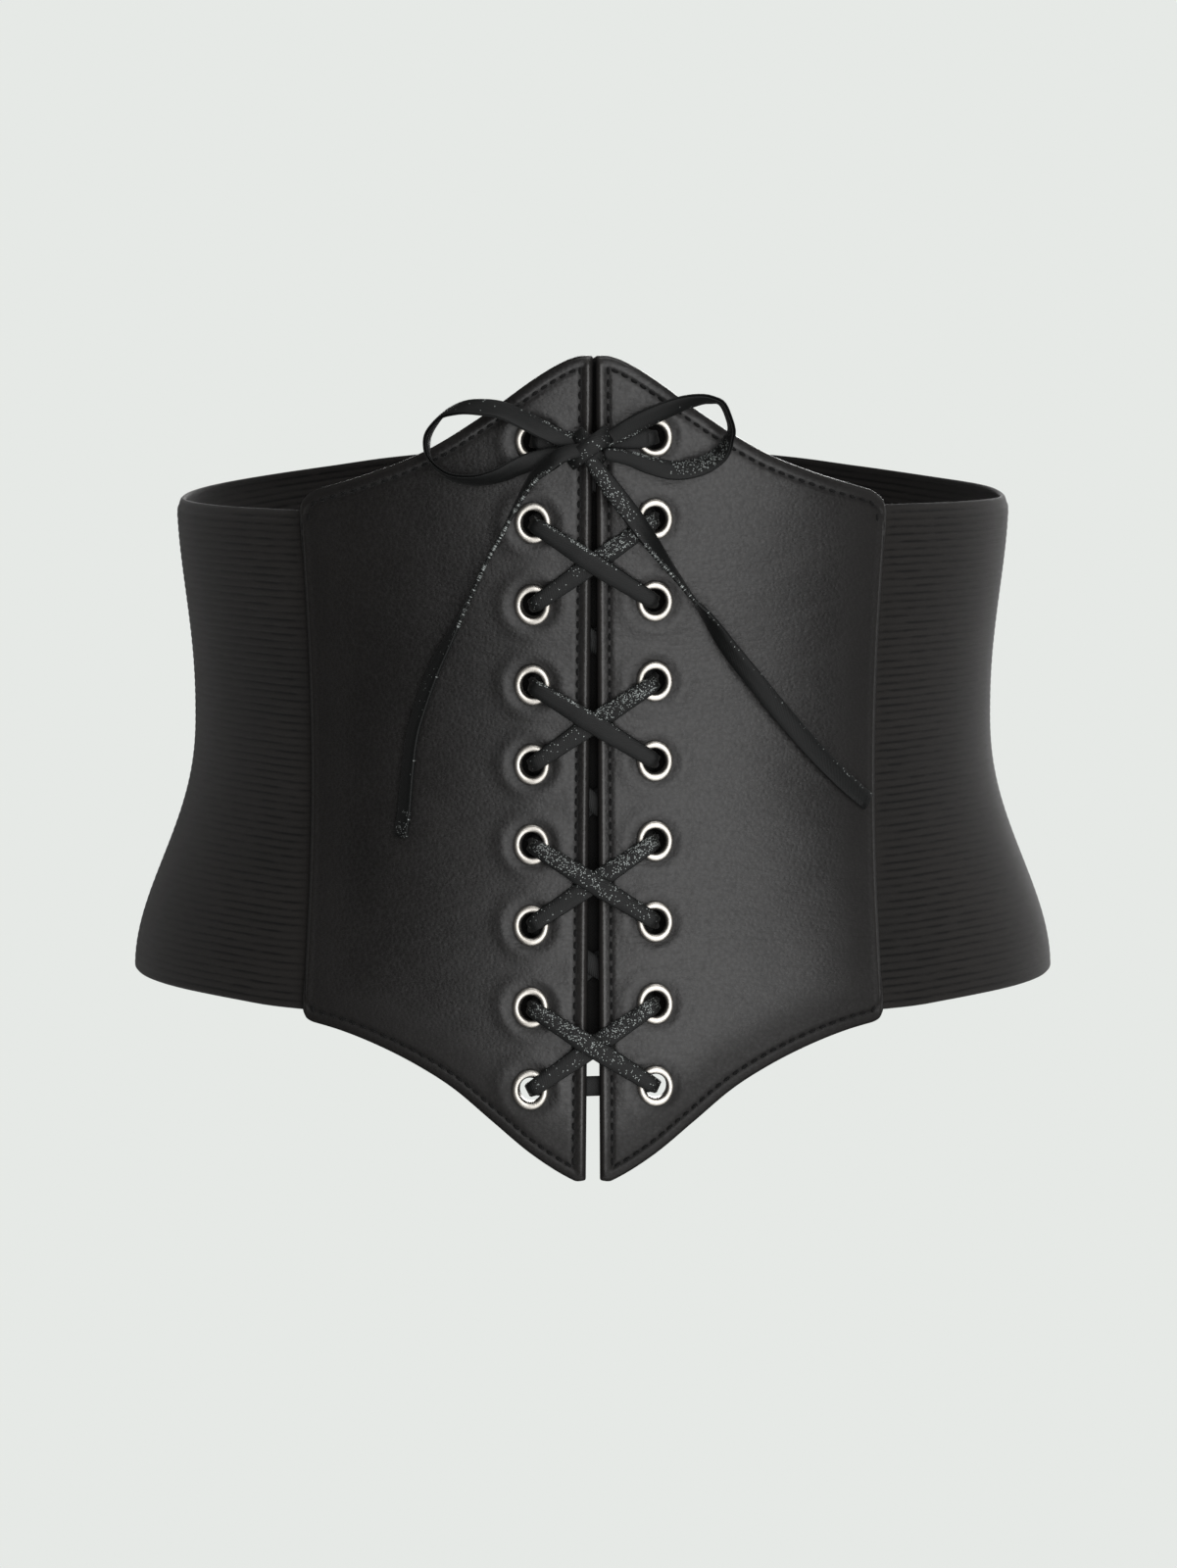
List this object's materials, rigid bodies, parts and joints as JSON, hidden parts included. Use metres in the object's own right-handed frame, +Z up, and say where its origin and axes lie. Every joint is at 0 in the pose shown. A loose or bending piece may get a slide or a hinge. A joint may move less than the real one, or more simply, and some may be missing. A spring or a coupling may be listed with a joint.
{
  "type": "corset belt",
  "caption": "Wide waist belt with two pointed stiff front panels laced edge to edge through metal eyelets and tied in a bow, and a broad ribbed elastic round the back",
  "frame": {"origin": "Centre of the waist at its narrowest level, on the middle line of the belt as worn", "axes": "+X to the right seen from the front, +Y to the back, +Z up; the laced front faces -Y"},
  "size_m": [0.2594, 0.1912, 0.2167],
  "materials": {
    "leather": "smooth black faux leather, soft sheen, rolled and stitched border",
    "elastic": "matt black elastic with fine horizontal ribs",
    "backing": "matt black cloth",
    "eyelet": "bright nickel",
    "lace": "black satin braid with silver glints"
  },
  "bodies": {
    "root": {"panel_left": "leather", "panel_right": "leather", "elastic_left": "elastic", "elastic_right": "elastic", "backing_strip": "backing", "eyelet_left_1": "eyelet", "eyelet_left_2": "eyelet", "eyelet_left_3": "eyelet", "eyelet_left_4": "eyelet", "eyelet_left_5": "eyelet", "eyelet_left_6": "eyelet", "eyelet_left_7": "eyelet", "eyelet_left_8": "eyelet", "eyelet_left_9": "eyelet", "eyelet_right_1": "eyelet", "eyelet_right_2": "eyelet", "eyelet_right_3": "eyelet", "eyelet_right_4": "eyelet", "eyelet_right_5": "eyelet", "eyelet_right_6": "eyelet", "eyelet_right_7": "eyelet", "eyelet_right_8": "eyelet", "eyelet_right_9": "eyelet", "knot": "lace", "lacing": "lace", "bow_loop_left": "lace", "bow_loop_right": "lace", "lace_tail_left": "lace", "lace_tail_right": "lace"}
  },
  "joints": []
}
